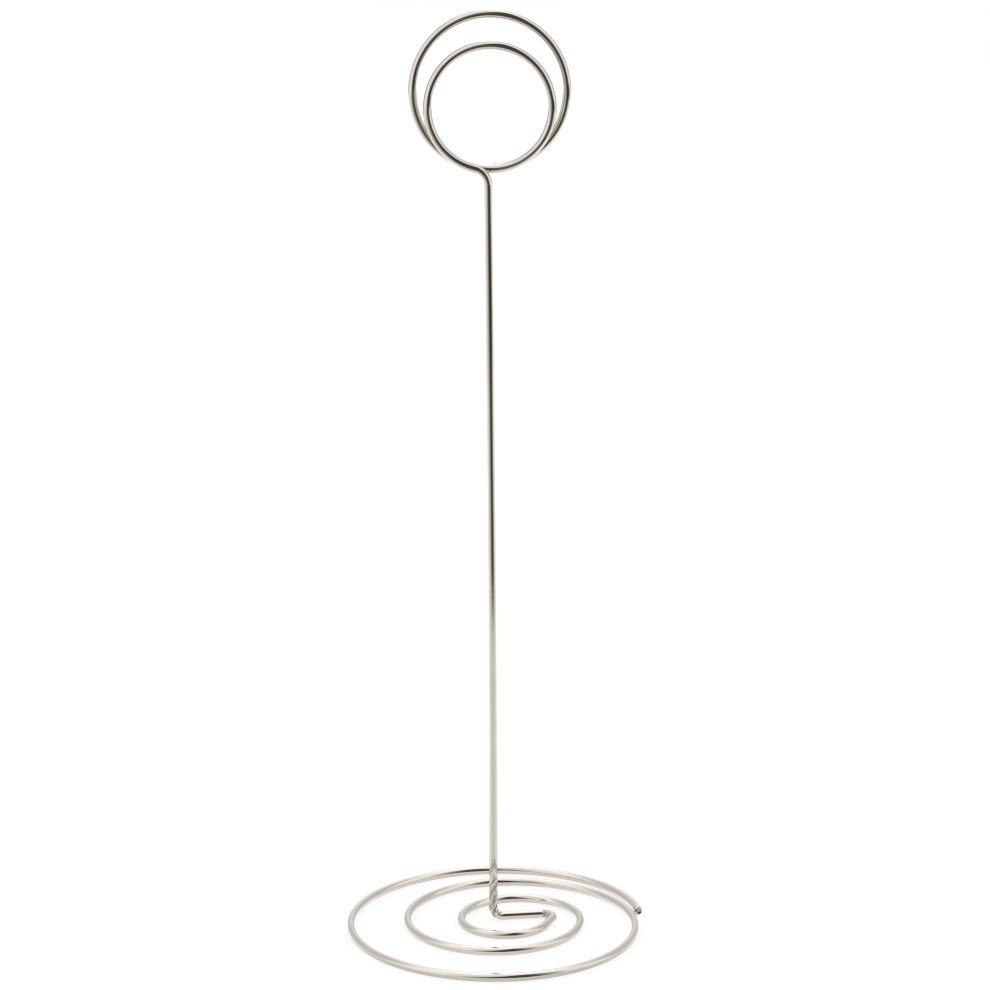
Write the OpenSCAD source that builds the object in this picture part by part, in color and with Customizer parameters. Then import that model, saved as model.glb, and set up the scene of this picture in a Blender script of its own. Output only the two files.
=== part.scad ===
// Memo clip holder: one length of round wire, bent into a flat coil to stand on, a stem, and a
// double ring at the top that holds a card between its two turns.
// The origin is on the table under the stem. X is to the right, Y to the back, Z up.

/* [Wire] */
// Diameter of the wire
wire_d = 2; // [1.6:0.1:2.2]
// Chamfer on the two cut ends of the wire
end_chamfer = 0.2; // [0.1:0.05:0.4]

/* [Stem] */
// Height of the whole holder, from the table to the top of the large ring
height = 220; // [150:1:320]
// Bend radius at the foot of the stem
foot_r = 2.5; // [2:0.1:4]

/* [Foot] */
// Length of the straight run from the foot of the stem to the hook
run_len = 9.4; // [8:0.1:12]
// Angle that the run is swung towards the back
run_swing = 7; // [1:1:15]
// Bend radius of the hook between the run and the coil
hook_r = 2.4; // [2:0.1:3]
// Angle that the hook turns the wire through
hook_turn = 118; // [110:1:130]
// Length of the straight leg between the hook and the coil
hook_leg = 4.4; // [3:0.1:6]

/* [Coil] */
// Bend radius of the coil's first quarter turn
coil_start_r = 10.35; // [9:0.05:13]
// Growth of the bend radius at the three later quarters of the inner turn
inner_growth = [0.5, 3.1, 1]; // [0.2:0.1:6]
// Growth of the bend radius at the four quarters of the middle turn
middle_growth = [5.3, 1.5, 3.4, 4.9]; // [0.2:0.1:8]
// Growth of the bend radius at the first three quarters of the outer turn
outer_growth = [3.1, 2.6, 0.3]; // [0.2:0.1:6]
// Gap between the end of the outer turn and the turn that it lies beside
tail_gap = 0.5; // [0.1:0.05:1]
// Angle of the last bend, which ends short of a quarter turn
tail_turn = 82; // [75:1:88]

/* [Clip] */
// Bend radius of the small ring, in front
small_ring_r = 14.35; // [11:0.05:16]
// Bend radius of the large ring, behind
large_ring_r = 17.8; // [16.5:0.05:22]
// Bend radius between the stem and the small ring
neck_r = 4; // [2.5:0.1:6]
// Distance of the rings' middle to the right of the stem
ring_offset = 0.5; // [0:0.1:2]
// Gap between the two rings where they cross, for the card
ring_gap = 0.15; // [0.05:0.05:0.5]
// Angle of the large ring's last bend, which ends just short of the bottom
ring_end_turn = 177; // [150:1:178]

/* [Hidden] */
wire_r = wire_d / 2;
fine = 96;
// Sides of a bend, from its start: to the left or to the right of the wire's heading
LEFT = 1;
RIGHT = -1;
quarter = 90;
half = 180;
// A bend is drawn this much too long, and then cut square at its end
spare_turn = 5;
// Each piece of wire runs on into its neighbour by this little, as a length and as an angle, so
// that no slivers are left where their faces meet. It is far too little to make or measure
fuse = 1e-6;
fuse_turn = 1e-5;
// Angles within these reaches of an asked one are tried for an exact one, in equal steps
turn_reach = 0.1;
slant_reach = 0.01;
tries = 5000;
places = 1e6;
// The angle close to the asked one whose sine and cosine are both decimals of six places. Frames
// turned through it are true to size, so the pieces drawn in them meet exactly
function exact(angle, reach) = let(
    pairs = [for (i = [-tries : tries]) let(a = angle + i * reach / tries)
        [round(places * cos(a)), round(places * sin(a))] / places],
    misses = [for (pair = pairs) abs(norm(pair) - 1)],
    best = pairs[search(min(misses), misses)[0]])
    atan2(best[1], best[0]);

// The coil's bend radii, one for each quarter turn, from the inside out
coil_growth = concat(inner_growth, middle_growth, outer_growth);
function growth_to(i) = i == 0 ? 0 : growth_to(i - 1) + coil_growth[i - 1];
grown_r = [for (i = [0 : len(coil_growth)]) coil_start_r + growth_to(i)];
// The last bend closes the outer turn towards the side of the middle turn. Its cut end lies one
// wire and one gap outside the quarter that it comes to, seen from that quarter's own centre
last_turn = exact(tail_turn, turn_reach);
tail_bend = grown_r[7] + wire_d + tail_gap;
tail_x = grown_r[10] - grown_r[9] - grown_r[8] + grown_r[7];
tail_y = grown_r[10] + grown_r[9] - grown_r[8];
tail_k = 1 - cos(last_turn);
tail_b = tail_x * sin(last_turn) - tail_y * tail_k;
tail_c = tail_x ^ 2 + tail_y ^ 2 - tail_bend ^ 2;
tail_r = (sqrt(tail_b ^ 2 - 2 * tail_k * tail_c) - tail_b) / (2 * tail_k);
coil_r = concat(grown_r, tail_r);
// The first bend of the coil is shorter, because the hook has done part of its quarter
swing = exact(run_swing, turn_reach);
hook_bend = exact(hook_turn, turn_reach);
first_turn = exact(half - hook_bend + swing, turn_reach);

// The neck turns left until the small ring, turning right from there, comes round over the stem
neck_turn = exact(acos((neck_r + ring_offset) / (neck_r + small_ring_r)), turn_reach);
end_turn = exact(ring_end_turn, turn_reach);
ring_bottom_z = height - wire_r - 2 * large_ring_r;
stem_foot_z = wire_r + foot_r;
// Each ring slants back over its right half, by one wire and one gap
ring_shift = wire_d + ring_gap;
small_slant = exact(asin(ring_shift / (2 * small_ring_r)), slant_reach);
large_slant = exact(asin(ring_shift / (2 * large_ring_r)), slant_reach);
small_middle_z = ring_bottom_z + small_ring_r * (2 * cos(small_slant) - 1);
stem_top_z = small_middle_z - (neck_r + small_ring_r) * sin(neck_turn);

// Each module below draws its own piece of wire from the origin along +X, and puts its children
// where that piece ends. So the wire reads as a bender's list of lengths, bends and rolls.

// A straight length of wire
module straight(length) {
    rotate([0, quarter, 0]) cylinder(h = length + fuse, d = wire_d, $fn = fine);
    translate([length, 0, 0]) children();
}

// A bend in the XY plane to one side. Its end is cut in the frame where the next piece starts,
// so that the two meet face to face at any angle
module bend(radius, turn, side) {
    drawn_turn = turn % quarter == 0 ? turn : ceil(turn) + spare_turn;
    reach = radius + wire_d;
    translate([0, side * radius, 0]) {
        if (drawn_turn == turn) ring_arc(radius, turn, side);
        else intersection() {
            ring_arc(radius, drawn_turn, side);
            rotate([0, 0, side * turn]) translate([-reach, -reach, -wire_d])
                cube([reach + fuse, 2 * reach, 2 * wire_d]);
        }
        rotate([0, 0, side * turn]) translate([0, -side * radius, 0]) children();
    }
}

// The bent wire itself, about the centre of its bend
module ring_arc(radius, turn, side) {
    from = side == LEFT ? -quarter : quarter - turn;
    rotate_extrude(angle = turn + fuse_turn, start = from, $fn = 2 * fine)
        translate([radius, 0]) circle(d = wire_d, $fn = fine);
}

// The wire turned about its own length, so that the next bend lies in another plane
module roll(angle) {
    rotate([angle, 0, 0]) children();
}

// The chamfered end of the wire
module cut_end() {
    rotate([0, quarter, 0])
        cylinder(h = end_chamfer, d1 = wire_d, d2 = wire_d - 2 * end_chamfer, $fn = fine);
}

// The coil from one of its quarter turns outwards
module coil_from(i) {
    if (i == len(coil_r)) cut_end();
    else bend(coil_r[i], i == 0 ? first_turn : i == len(coil_r) - 1 ? last_turn : quarter, RIGHT)
        coil_from(i + 1);
}

// From the foot of the stem down, along the run and round the hook into the coil
module base() {
    translate([0, 0, stem_foot_z + fuse]) rotate([0, 0, swing])
        rotate([quarter, 0, 0]) rotate([0, 0, -quarter])
        bend(foot_r, quarter, LEFT)
        roll(-quarter) straight(run_len)
        bend(hook_r, hook_bend, RIGHT)
        straight(hook_leg)
        coil_from(0);
}

// From the foot of the stem up: the stem, the neck, the small ring in front and the large ring behind
module stem_and_clip() {
    translate([0, 0, stem_foot_z]) rotate([quarter, 0, 0]) rotate([0, 0, quarter])
        straight(stem_top_z - stem_foot_z)
        bend(neck_r, neck_turn, LEFT)
        bend(small_ring_r, neck_turn + quarter, RIGHT)
        roll(small_slant) bend(small_ring_r, half, RIGHT)
        roll(small_slant) bend(large_ring_r, half, RIGHT)
        roll(large_slant) bend(large_ring_r, end_turn, RIGHT)
        cut_end();
}

module wire() {
    color("silver") {
        base();
        stem_and_clip();
    }
}

wire();
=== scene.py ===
"""A memo clip holder bent from one length of plated wire, in a plain white studio."""

import math

import bpy
import numpy as np
from mathutils import Matrix, Vector


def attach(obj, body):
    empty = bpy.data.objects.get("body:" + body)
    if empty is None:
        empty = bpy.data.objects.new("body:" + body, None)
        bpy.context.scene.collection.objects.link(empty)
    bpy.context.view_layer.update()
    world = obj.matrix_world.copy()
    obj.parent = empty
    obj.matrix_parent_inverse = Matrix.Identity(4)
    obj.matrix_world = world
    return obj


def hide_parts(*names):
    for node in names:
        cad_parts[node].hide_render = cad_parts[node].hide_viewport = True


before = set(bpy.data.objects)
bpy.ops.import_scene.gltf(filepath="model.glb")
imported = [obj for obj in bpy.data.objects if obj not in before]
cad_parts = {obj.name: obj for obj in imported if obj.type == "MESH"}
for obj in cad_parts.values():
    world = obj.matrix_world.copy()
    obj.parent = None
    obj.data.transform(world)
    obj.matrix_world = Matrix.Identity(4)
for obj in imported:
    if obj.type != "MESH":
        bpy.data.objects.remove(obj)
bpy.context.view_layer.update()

# Lengths are in millimetres until they go into a mesh
MM = 0.001
WIRE_R = 1.0
SIDES = 88
LEFT, RIGHT = 1, -1
# The wire's materials, in the order in which they are added to it
PLATED, CUT = 0, 1

# The wire's own lengths, bends and rolls, as in the part
HEIGHT = 220.0
FOOT_R = 2.5
RUN_LEN, RUN_SWING = 9.4, 7.06975
HOOK_R, HOOK_TURN, HOOK_LEG = 2.4, 118.07257, 4.4
COIL_R = [10.35, 10.85, 13.95, 14.95, 20.25, 21.75, 25.15, 30.05, 33.15, 35.75, 36.05]
TAIL_GAP, TAIL_TURN = 0.5, 81.94338
SMALL_R, LARGE_R = 14.35, 17.8
NECK_R, RING_OFFSET, RING_GAP, RING_END_TURN = 4.0, 0.5, 0.15, 176.92909
CHAMFER = 0.2
# The real stem isn't quite straight: it bows to the right by this much, mostly in its lower half
STEM_BOW, BOW_SKEW = 0.32, 0.7
# The strain of a bend, which crazes the plate, spreads this far into its neighbours
STRAIN_REACH = 1.2
# Marks from bending, by the length along the wire from the stem's foot, which counts up along the stem and
# down along the run: spiral grooves on the twisted foot of the stem, and wrinkles at the start of the hook
TWIST_FROM, TWIST_TO, TWIST_LEAD, TWIST_STARTS = -2.4, 7.2, 10.5, 4
WRINKLES_FROM, WRINKLES_TO, WRINKLE_PITCH = -15.4, -13.6, 0.55
MARK_DEPTH = 0.12
MARKED_LEN = 9.6
# The mesh has a ring at each of these steps on the straights, in millimetres, and on the bends, in degrees
STEM_STEP, MARKED_STEP, RUN_STEP, LEG_STEP, END_STEP = 1.6, 0.16, 0.12, 0.4, 0.05
WIDE_BEND_STEP, TIGHT_BEND_STEP, TIGHT_BEND_R = 2.6, 3.0, 8
# The rims of the cut faces are rounded in these steps, of radius and of distance outwards
RIM_STEPS = ((0.985, 0.035), (0.95, 0.1), (0.9, 0.15), (0.84, 0.18))
CUT_RADII = (0.78, 0.66, 0.52, 0.38, 0.24, 0.1)


def tail_radius():
    """The last bend's radius, with its end one wire and one gap outside the middle turn."""
    turn = math.radians(TAIL_TURN)
    x = COIL_R[10] - COIL_R[9] - COIL_R[8] + COIL_R[7]
    y = COIL_R[10] + COIL_R[9] - COIL_R[8]
    k = 1 - math.cos(turn)
    b = x * math.sin(turn) - y * k
    c = x * x + y * y - (COIL_R[7] + 2 * WIRE_R + TAIL_GAP) ** 2
    return (math.sqrt(b * b - 2 * k * c) - b) / (2 * k)


class Bender:
    """Walks along the wire, as a wire bender feeds, bends and rolls it."""

    def __init__(self, place, axes):
        self.place = Vector(place)
        self.axes = axes.copy()
        self.skin = axes.copy()
        self.length = 0.0
        self.stations = []
        self.mark(0.0)

    def mark(self, strain):
        self.stations.append((self.place.copy(), self.skin.copy(), self.length, strain))

    def straight(self, length, step):
        """A straight piece, with a short step at each end so that the bends' shading stops there."""
        count = max(1, math.ceil(length / step))
        steps = [END_STEP] + [(length - 2 * END_STEP) / count] * count + [END_STEP]
        for part in steps:
            self.place += self.axes.col[0] * part
            self.length += part
            self.mark(0.0)

    def bend(self, radius, turn, side):
        step = WIDE_BEND_STEP if radius > TIGHT_BEND_R else TIGHT_BEND_STEP
        count = max(1, math.ceil(turn / step))
        centre = self.place + self.axes.col[1] * (side * radius)
        part = Matrix.Rotation(math.radians(side * turn / count), 3, self.axes.col[2])
        for _ in range(count):
            self.place = centre + part @ (self.place - centre)
            self.axes = part @ self.axes
            self.skin = part @ self.skin
            self.length += radius * math.radians(turn / count)
            self.mark(WIRE_R / radius)

    def roll(self, angle):
        self.axes = Matrix.Rotation(math.radians(angle), 3, self.axes.col[0]) @ self.axes


def columns(heading, left, up):
    return Matrix((heading, left, up)).transposed()


def wire_stations():
    """The whole wire, from the cut end in the coil up to the end of the large ring."""
    swing = math.radians(RUN_SWING)
    out = Vector((math.cos(swing), math.sin(swing), 0))
    base = Bender((0, 0, WIRE_R + FOOT_R), columns(Vector((0, 0, -1)), out, Vector((0, 0, -1)).cross(out)))
    base.bend(FOOT_R, 90, LEFT)
    base.roll(-90)
    base.straight(RUN_LEN, RUN_STEP)
    base.bend(HOOK_R, HOOK_TURN, RIGHT)
    base.straight(HOOK_LEG, LEG_STEP)
    radii = COIL_R + [tail_radius()]
    for i, radius in enumerate(radii):
        turn = 180 - HOOK_TURN + RUN_SWING if i == 0 else TAIL_TURN if i == len(radii) - 1 else 90
        base.bend(radius, turn, RIGHT)

    shift = 2 * WIRE_R + RING_GAP
    small_slant = math.asin(shift / (2 * SMALL_R))
    large_slant = math.asin(shift / (2 * LARGE_R))
    neck_turn = math.acos((NECK_R + RING_OFFSET) / (NECK_R + SMALL_R))
    bottom = HEIGHT - WIRE_R - 2 * LARGE_R
    middle = bottom + SMALL_R * (2 * math.cos(small_slant) - 1)
    stem_top = middle - (NECK_R + SMALL_R) * math.sin(neck_turn)
    up = Vector((0, 0, 1))
    left = Vector((-1, 0, 0))
    top = Bender((0, 0, WIRE_R + FOOT_R), columns(up, left, up.cross(left)))
    top.straight(MARKED_LEN, MARKED_STEP)
    top.straight(stem_top - WIRE_R - FOOT_R - MARKED_LEN, STEM_STEP)
    top.bend(NECK_R, math.degrees(neck_turn), LEFT)
    top.bend(SMALL_R, math.degrees(neck_turn) + 90, RIGHT)
    top.roll(math.degrees(small_slant))
    top.bend(SMALL_R, 180, RIGHT)
    top.roll(math.degrees(small_slant))
    top.bend(LARGE_R, 180, RIGHT)
    top.roll(math.degrees(large_slant))
    top.bend(LARGE_R, RING_END_TURN, RIGHT)

    straight_end = next(i for i, station in enumerate(top.stations) if station[3] > 0) - 1
    for place, _, length, _ in top.stations[:straight_end]:
        place.x += STEM_BOW * math.sin(math.pi * (length / top.stations[straight_end][2]) ** BOW_SKEW)

    # The base was walked from the stem outwards, so it is turned round to run into the stem
    first, last = base.stations, top.stations
    whole = []
    for place, skin, length, strain in reversed(first):
        whole.append((place, -skin.col[0], skin.col[1], skin.col[2], -length, strain))
    # The two skins meet at the stem's foot, where the second is turned to fit the first
    seam = whole[-1][2:4]
    here = last[0][1]
    turned = math.atan2(here.col[2].dot(seam[0]), here.col[1].dot(seam[0]))
    facing = 1 if here.col[1].cross(here.col[2]).dot(seam[0].cross(seam[1])) > 0 else -1
    for place, skin, length, strain in last[1:]:
        one = skin.col[1] * math.cos(turned) + skin.col[2] * math.sin(turned)
        two = (skin.col[2] * math.cos(turned) - skin.col[1] * math.sin(turned)) * facing
        whole.append((place, skin.col[0], one, two, length, strain))

    # The strain of a bend spreads a little way into its neighbours
    lengths = np.array([station[4] for station in whole])
    total = np.concatenate([[0], np.cumsum(np.diff(lengths) * [station[5] for station in whole[1:]])])
    ahead = np.interp(lengths + STRAIN_REACH, lengths, total)
    before = np.interp(lengths - STRAIN_REACH, lengths, total)
    spread = (ahead - before) / (2 * STRAIN_REACH)
    return [station[:5] + (strain,) for station, strain in zip(whole, spread)]


def smooth_step(value, low, high):
    """0 below low and 1 above high, with a smooth rise between."""
    part = np.clip((value - low) / (high - low), 0, 1)
    return part * part * (3 - 2 * part)


def bending_marks(length, angles):
    """The bender's marks round the wire at one length: above 0 is pressed in, and below 0 is raised."""
    # The grooves wander, fade in places and end raggedly
    wander = 0.9 * math.sin(0.9 * length + 1.0) + 0.5 * np.sin(2 * angles - 1.3 * length)
    wave = np.sin(TWIST_STARTS * (2 * math.pi * length / TWIST_LEAD + angles) + wander)
    patchy = 0.75 + 0.25 * np.sin(2.3 * length + 2 * angles + 0.5)
    ragged = length + 0.7 * np.sin(2 * angles + 1.5)
    begun = smooth_step(ragged, TWIST_FROM - 1.2, TWIST_FROM + 0.6)
    not_over = smooth_step(-ragged, -TWIST_TO - 0.8, -TWIST_TO + 0.8)
    twist = begun * not_over * patchy * (smooth_step(-wave, 0.2, 0.9) - 0.6 * smooth_step(wave, 0.2, 0.9))

    wander = 1.2 * np.sin(2 * angles + 1.0) + 0.8 * np.sin(3 * angles)
    wave = np.sin(2 * math.pi * length / WRINKLE_PITCH + wander)
    begun = smooth_step(length, WRINKLES_FROM - 0.3, WRINKLES_FROM + 0.3)
    not_over = smooth_step(-length, -WRINKLES_TO - 0.2, -WRINKLES_TO + 0.3)
    return twist + 0.7 * begun * not_over * smooth_step(-wave, -0.4, 0.9)


def tube(stations, name):
    """A tube round the stations, with chamfered, slightly rough cut faces on both ends."""
    rng = np.random.default_rng(7)
    rings, lays, worked, faces, kinds = [], [], [], [], []
    angles = np.linspace(0, 2 * math.pi, SIDES, endpoint=False)
    across, along = np.cos(angles), np.sin(angles)

    def ring(place, one, two, radius, length, strain, push=None, ahead=None):
        marks = bending_marks(length, angles)
        outward = across[:, None] * np.array(one)[None] + along[:, None] * np.array(two)[None]
        spots = np.array(place)[None] + (radius - MARK_DEPTH * marks)[:, None] * outward
        if push is not None:
            spots = spots + push[:, None] * np.array(ahead)[None]
        rings.append(spots)
        lays.append(np.stack([np.full(SIDES, length), across, along], 1))
        worked.append(np.stack([np.full(SIDES, strain), np.maximum(marks, 0)], 1))

    def cut_face(station, ahead):
        place, _, one, two, length, _ = station
        shear = np.cos(angles - rng.uniform(0, 2 * math.pi))
        rows = []
        for radius, out in RIM_STEPS:
            rows.append((radius, np.full(SIDES, out) + 0.012 * shear))
        for radius in CUT_RADII:
            rough = 0.008 * rng.standard_normal(SIDES) * (radius > 0.15)
            rows.append((radius, CHAMFER + 0.03 * shear * radius + rough - 0.02 * (1 - radius)))
        return [(place, one, two, radius * WIRE_R, length, 0.0, push, ahead) for radius, push in rows]

    start, end = stations[0], stations[-1]
    for args in reversed(cut_face(start, -start[1])):
        ring(*args)
    for place, _, one, two, length, strain in stations:
        ring(place, one, two, WIRE_R, length, strain)
    for args in cut_face(end, end[1]):
        ring(*args)

    count = len(rings)
    for i in range(count - 1):
        cut = i < len(CUT_RADII) or i >= count - 1 - len(CUT_RADII)
        for j in range(SIDES):
            k = (j + 1) % SIDES
            faces.append((i * SIDES + j, i * SIDES + k, (i + 1) * SIDES + k, (i + 1) * SIDES + j))
            kinds.append(CUT if cut else PLATED)
    faces.append(tuple(reversed(range(SIDES))))
    faces.append(tuple((count - 1) * SIDES + j for j in range(SIDES)))
    kinds += [CUT, CUT]

    mesh = bpy.data.meshes.new(name)
    mesh.from_pydata([tuple(v) for v in np.concatenate(rings) * MM], [], faces)
    mesh.update()
    volume = sum(Vector(mesh.vertices[p.vertices[0]].co).dot(p.normal) * p.area for p in mesh.polygons)
    if volume < 0:
        mesh.flip_normals()
    lay = mesh.attributes.new("lay", "FLOAT_VECTOR", "POINT")
    lay.data.foreach_set("vector", np.concatenate(lays).astype(np.float32).ravel())
    worked = np.concatenate(worked).astype(np.float32)
    # How far each point is pressed in. The plate's material also uses this as the mask for the painted
    # shade in the grooves
    for i, attribute in enumerate(("strain", "pressed")):
        mesh.attributes.new(attribute, "FLOAT", "POINT").data.foreach_set("value", worked[:, i].copy())
    mesh.polygons.foreach_set("use_smooth", [kind == PLATED for kind in kinds])
    mesh.polygons.foreach_set("material_index", kinds)
    thing = bpy.data.objects.new(name, mesh)
    bpy.context.scene.collection.objects.link(thing)
    return thing


class Nodes:
    """A short way to write a node tree."""

    def __init__(self, owner):
        owner.use_nodes = True
        self.tree = owner.node_tree
        self.tree.nodes.clear()

    def add(self, kind, inputs=None, **settings):
        node = self.tree.nodes.new(kind)
        for key, value in settings.items():
            setattr(node, key, value)
        for key, value in (inputs or {}).items():
            if isinstance(value, bpy.types.NodeSocket):
                self.tree.links.new(value, node.inputs[key])
            else:
                node.inputs[key].default_value = value
        return node

    def math(self, operation, *values):
        node = self.add("ShaderNodeMath", {i: v for i, v in enumerate(values)}, operation=operation)
        return node.outputs[0]

    def span(self, value, low, high, to_low=0.0, to_high=1.0):
        """The smooth step from to_low to to_high, as the value goes from low to high."""
        limits = {"From Min": low, "From Max": high, "To Min": to_low, "To Max": to_high}
        node = self.add("ShaderNodeMapRange", {"Value": value, **limits}, interpolation_type="SMOOTHSTEP")
        return node.outputs["Result"]

    def arc_span(self, angle, low, high, to_low=0.0, to_high=1.0):
        """The same for an angle, with its limits in degrees."""
        return self.span(angle, math.radians(low), math.radians(high), to_low, to_high)

    def mix(self, factor, one, two):
        node = self.add("ShaderNodeMix", data_type="RGBA")
        for socket, value in ((node.inputs[0], factor), (node.inputs[6], one), (node.inputs[7], two)):
            if isinstance(value, bpy.types.NodeSocket):
                self.tree.links.new(value, socket)
            else:
                socket.default_value = value
        return node.outputs[2]


NICKEL = (0.632, 0.598, 0.548, 1)
TARNISHED_NICKEL = (0.585, 0.548, 0.497, 1)
DULL_STREAK = (0.50, 0.47, 0.43, 1)
# The dark brown that is painted into the grooves of the bending marks, as painted shade
GROOVE_PAINTED_SHADE = (0.2, 0.16, 0.13, 1)
SHEARED_DARK = (0.07, 0.064, 0.058, 1)
SHEARED_LIGHT = (0.50, 0.47, 0.42, 1)


def plated_wire():
    """Bright nickel plate over drawn wire: draw lines, slight tarnish, bending marks with painted shade in
    their grooves, and crazing.
    """
    material = bpy.data.materials.new("plated_wire")
    n = Nodes(material)
    lay = n.add("ShaderNodeAttribute", attribute_name="lay").outputs["Vector"]
    strain = n.add("ShaderNodeAttribute", attribute_name="strain").outputs["Fac"]
    pressed = n.add("ShaderNodeAttribute", attribute_name="pressed").outputs["Fac"]
    place = n.add("ShaderNodeTexCoord").outputs["Object"]

    def noise(vector, scale, stretch=(1, 1, 1), detail=3.0, roughness=0.5):
        mapped = n.add("ShaderNodeMapping", {"Vector": vector, "Scale": stretch}).outputs[0]
        made = n.add("ShaderNodeTexNoise",
                     {"Vector": mapped, "Scale": scale, "Detail": detail, "Roughness": roughness})
        return made.outputs["Fac"]

    draw_lines = noise(lay, 9.0, (0.012, 1.0, 1.0), 4.0, 0.6)
    cloud = noise(place, 60.0, detail=3.0)
    pits = noise(place, 2600.0, detail=2.0)
    ripple = noise(lay, 1.0, (0.9, 0.6, 0.6), 2.0)
    crazing = noise(lay, 1.0, (1.5, 1.1, 1.1), 2.0, 0.6)

    tarnish = n.span(cloud, 0.42, 0.72)
    color = n.mix(tarnish, NICKEL, TARNISHED_NICKEL)
    streak = n.span(draw_lines, 0.35, 0.75)
    color = n.mix(n.math("MULTIPLY", streak, 0.22), color, DULL_STREAK)
    rough = n.math("ADD", n.span(cloud, 0.3, 0.8, 0.05, 0.09), n.math("MULTIPLY", streak, 0.03))
    rough = n.math("ADD", rough, n.span(strain, 0.15, 0.45, 0.0, 0.04))

    tight = n.math("MULTIPLY", n.span(strain, 0.15, 0.42), crazing)
    normal = None
    for height, strength, depth in ((draw_lines, 0.35, 0.012), (ripple, 0.15, 0.02), (pits, 0.12, 0.008),
                                    (tight, 0.9, 0.16), (n.math("MULTIPLY", pressed, -1.0), 1.0, 0.12)):
        inputs = {"Height": height, "Strength": strength, "Distance": depth * MM}
        if normal is not None:
            inputs["Normal"] = normal
        normal = n.add("ShaderNodeBump", inputs).outputs[0]
    # Painted shade: the grooves of the bending marks and the hook's wrinkles are darkened in colour, on
    # top of their bump
    color = n.mix(n.math("MULTIPLY", pressed, 0.75), color, GROOVE_PAINTED_SHADE)
    shader = n.add("ShaderNodeBsdfPrincipled",
                   {"Base Color": color, "Metallic": 1.0, "Roughness": rough, "Normal": normal})
    out = n.add("ShaderNodeOutputMaterial")
    n.tree.links.new(shader.outputs[0], out.inputs["Surface"])
    return material


def cut_steel():
    """The bare, sheared steel of the two ends."""
    material = bpy.data.materials.new("cut_steel")
    n = Nodes(material)
    place = n.add("ShaderNodeTexCoord").outputs["Object"]
    grain = n.add("ShaderNodeTexNoise", {"Vector": place, "Scale": 3500.0, "Detail": 4.0}).outputs["Fac"]
    patch = n.add("ShaderNodeTexNoise", {"Vector": place, "Scale": 1500.0, "Detail": 2.0}).outputs["Fac"]
    color = n.mix(n.span(patch, 0.42, 0.58), SHEARED_DARK, SHEARED_LIGHT)
    rough = n.span(grain, 0.3, 0.7, 0.38, 0.62)
    bump = n.add("ShaderNodeBump", {"Strength": 0.6, "Distance": 0.00004, "Height": grain})
    shader = n.add("ShaderNodeBsdfPrincipled",
                   {"Base Color": color, "Metallic": 1.0, "Roughness": rough, "Normal": bump.outputs[0]})
    out = n.add("ShaderNodeOutputMaterial")
    n.tree.links.new(shader.outputs[0], out.inputs["Surface"])
    return material


# The studio, as the polished wire mirrors it: a light box on each side, a lit backdrop, a light ceiling
# and a dark front, where the camera stands. Azimuths are in degrees from the front, positive to the right.
# An extent has four: where the thing begins, where it is full, where it starts to end and where it ends
WALLS = 0.82
LEFT_BOX, LEFT_BOX_EXTENT = 0.44, (-104, -78, -42, -12)
RIGHT_BOX, RIGHT_BOX_EXTENT = 0.46, (28, 60, 92, 108)
DARK_EXTENT = (-42, 5, 24, 68)
DARK_WALL, DARK_FLOOR = 0.085, 0.05
DARK_TINT = (1.0, 0.86, 0.74)
BACKDROP_LOW = 0.19

# The floor, by the distance from the stem in metres
TABLE_HALF = 3
TABLE_LEVEL_NEAR, TABLE_LEVEL_FAR = 1.02, 0.9
TABLE_BEHIND, TABLE_BESIDE = 0.68, 0.28
BESIDE_EXTENT = (40, 85, 100, 150)
DARK_NEAR, DARK_FULL = 0.235, 0.345
WALLS_NEAR, WALLS_FULL = 0.9, 2.7


def within(n, angle, extent):
    """0 outside an extent and 1 where it is full."""
    start, full_from, full_to, end = extent
    rise = n.arc_span(angle, start, full_from)
    return n.math("MULTIPLY", rise, n.arc_span(angle, full_to, end, 1.0, 0.0))


def darkened(n, level, dark, lowest):
    """The light level where it isn't dark, going down to a brownish dark."""
    return n.mix(dark, level, tuple(lowest * part for part in DARK_TINT) + (1,))


def room(n, azimuth, backdrop, dark_front):
    """The walls, by azimuth: two light boxes, the backdrop at a given strength, and the dark front."""
    behind = n.math("MULTIPLY", n.arc_span(n.math("ABSOLUTE", azimuth), 158, 177), backdrop)
    walls = n.math("MULTIPLY_ADD", within(n, azimuth, LEFT_BOX_EXTENT), LEFT_BOX, WALLS)
    walls = n.math("MULTIPLY_ADD", within(n, azimuth, RIGHT_BOX_EXTENT), RIGHT_BOX, walls)
    walls = n.math("ADD", walls, behind)
    dark = n.math("MULTIPLY", within(n, azimuth, DARK_EXTENT), dark_front)
    return darkened(n, walls, dark, DARK_WALL)


def azimuth_of(n, x, y):
    """The angle round from the front, positive to the right."""
    return n.math("ARCTAN2", x, n.math("MULTIPLY", y, -1.0))


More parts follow.
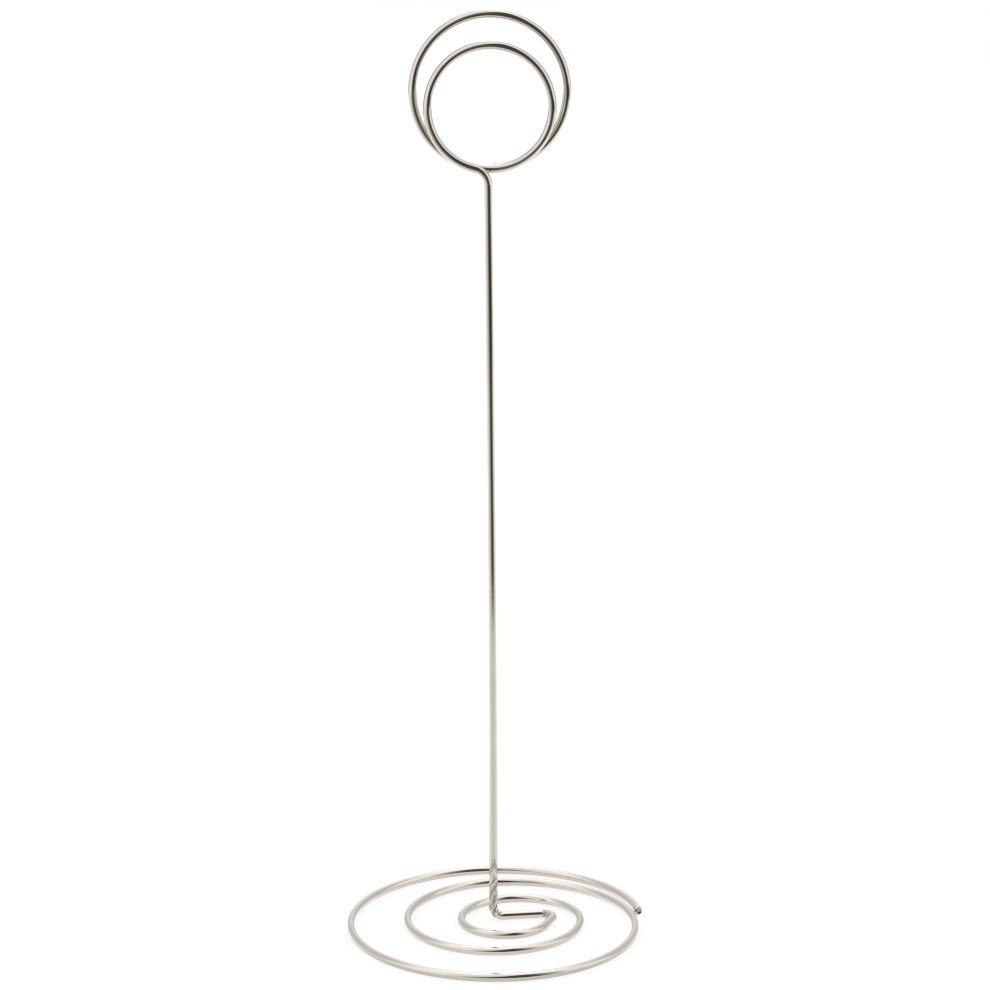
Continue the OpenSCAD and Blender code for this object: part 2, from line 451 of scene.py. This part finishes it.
def studio():
    """White all round for the camera and for plain light. Only reflections see the studio."""
    world = bpy.data.worlds.new("studio")
    bpy.context.scene.world = world
    n = Nodes(world)
    direction = n.add("ShaderNodeTexCoord").outputs["Generated"]
    x, y, z = n.add("ShaderNodeSeparateXYZ", {"Vector": direction}).outputs
    azimuth = azimuth_of(n, x, y)
    aside = n.math("ABSOLUTE", azimuth)
    # The dark front reaches higher on its right than on its left
    tilt = n.arc_span(azimuth, -35, 35, math.radians(-30), math.radians(14))
    tilt = n.math("MULTIPLY", tilt, n.arc_span(aside, 60, 100, 1.0, 0.0))
    height = n.math("SUBTRACT", n.math("ARCSINE", z), tilt)

    backdrop = n.arc_span(height, 20, 38, BACKDROP_LOW, 1.0)
    level = room(n, azimuth, backdrop, n.arc_span(height, 46, 64, 1.0, 0.0))
    ceiling = n.arc_span(aside, 30, 120, 1.15, 1.6)
    level = n.mix(n.arc_span(height, 44, 70), level, ceiling)
    rays = n.add("ShaderNodeLightPath")
    seen = n.mix(rays.outputs["Is Glossy Ray"], (0.97, 0.97, 0.97, 1), level)
    seen = n.mix(rays.outputs["Is Camera Ray"], seen, (1, 1, 1, 1))
    light = n.add("ShaderNodeBackground", {"Color": seen, "Strength": 1.0})
    out = n.add("ShaderNodeOutputWorld")
    n.tree.links.new(light.outputs[0], out.inputs["Surface"])


def table_level(n):
    """The floor's light level in reflections: dark at the front, as the room is, and white elsewhere."""
    place = n.add("ShaderNodeTexCoord").outputs["Object"]
    x, y, _ = n.add("ShaderNodeSeparateXYZ", {"Vector": place}).outputs
    azimuth = azimuth_of(n, x, y)
    aside = n.math("ABSOLUTE", azimuth)
    distance = n.add("ShaderNodeVectorMath", {0: place}, operation="LENGTH").outputs["Value"]
    # Further off, the dark part reaches further to the right
    widening = n.span(distance, 0.6, 0.9, 0.0, math.radians(20))
    left_edge = n.arc_span(azimuth, -66, 13)
    right_edge = n.arc_span(n.math("SUBTRACT", azimuth, widening), 18, 84, 1.0, 0.0)
    dark = n.math("MULTIPLY", left_edge, right_edge)
    dark = n.math("MULTIPLY", dark, n.span(distance, DARK_NEAR, DARK_FULL))
    behind = n.math("MULTIPLY", n.arc_span(aside, 90, 150), n.span(distance, 0.02, 0.2))
    beside = n.math("MULTIPLY", within(n, aside, BESIDE_EXTENT), n.span(distance, 0.0, 0.03))
    level = n.span(distance, 0.026, 0.042, TABLE_LEVEL_NEAR, TABLE_LEVEL_FAR)
    level = n.math("MULTIPLY_ADD", behind, TABLE_BEHIND, level)
    level = n.math("MULTIPLY_ADD", beside, TABLE_BESIDE, level)
    level = darkened(n, level, dark, DARK_FLOOR)
    # Its far edge runs over into the walls
    return n.mix(n.span(distance, WALLS_NEAR, WALLS_FULL), level, room(n, azimuth, BACKDROP_LOW, 1.0))


# The floor's light is a matt part, which takes shadows, and a glow. The camera sees the first pair, which
# adds up to white, and reflections see the second, as shares of the floor's light level
CAMERA_MATT, CAMERA_GLOW = 0.24, 0.785
MIRRORED_MATT, MIRRORED_GLOW = 0.26, 0.76
PLAIN_MATT = 0.93


def table():
    """A plain white floor that keeps a faint shadow."""
    mesh = bpy.data.meshes.new("table")
    corners = [(-1, -1), (1, -1), (1, 1), (-1, 1)]
    mesh.from_pydata([(TABLE_HALF * x, TABLE_HALF * y, 0) for x, y in corners], [], [(0, 1, 2, 3)])
    thing = bpy.data.objects.new("table", mesh)
    bpy.context.scene.collection.objects.link(thing)
    material = bpy.data.materials.new("white_table")
    n = Nodes(material)
    level = table_level(n)
    rays = n.add("ShaderNodeLightPath")
    camera_ray, glossy_ray = rays.outputs["Is Camera Ray"], rays.outputs["Is Glossy Ray"]
    matt_color = n.mix(camera_ray, (PLAIN_MATT,) * 3 + (1,), (CAMERA_MATT,) * 3 + (1,))
    matt_color = n.mix(glossy_ray, matt_color, n.mix(1 - MIRRORED_MATT, level, (0, 0, 0, 1)))
    glow_color = n.mix(glossy_ray, (1, 1, 1, 1), level)
    glow = n.math("MULTIPLY_ADD", glossy_ray, MIRRORED_GLOW, n.math("MULTIPLY", camera_ray, CAMERA_GLOW))
    matt = n.add("ShaderNodeBsdfDiffuse", {"Color": matt_color})
    lift = n.add("ShaderNodeEmission", {"Color": glow_color, "Strength": glow})
    both = n.add("ShaderNodeAddShader")
    n.tree.links.new(matt.outputs[0], both.inputs[0])
    n.tree.links.new(lift.outputs[0], both.inputs[1])
    out = n.add("ShaderNodeOutputMaterial")
    n.tree.links.new(both.outputs[0], out.inputs["Surface"])
    mesh.materials.append(material)


# The photograph's viewpoint, as found from the object's own sizes. The tilt counts from straight down
SENSOR_WIDTH, LENS = 36, 109.09
CAMERA_PLACE = (0.001104, -0.690727, 0.266321)
CAMERA_TILT, CAMERA_ROLL = 76.979, -0.37


def camera():
    data = bpy.data.cameras.new("camera")
    data.sensor_width = SENSOR_WIDTH
    data.lens = LENS
    data.clip_start, data.clip_end = 0.01, 20
    thing = bpy.data.objects.new("camera", data)
    bpy.context.scene.collection.objects.link(thing)
    thing.matrix_world = (Matrix.Translation(CAMERA_PLACE)
                          @ Matrix.Rotation(math.radians(CAMERA_TILT), 4, "X")
                          @ Matrix.Rotation(math.radians(CAMERA_ROLL), 4, "Z"))
    bpy.context.scene.camera = thing


camera()
wire = tube(wire_stations(), "bent_wire")
wire.data.materials.append(plated_wire())
wire.data.materials.append(cut_steel())
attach(wire, "root")
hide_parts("wire")
studio()
table()
bpy.context.scene.view_settings.view_transform = "Standard"
# A crisp picture, as the photograph is
bpy.context.scene.cycles.filter_width = 1.2
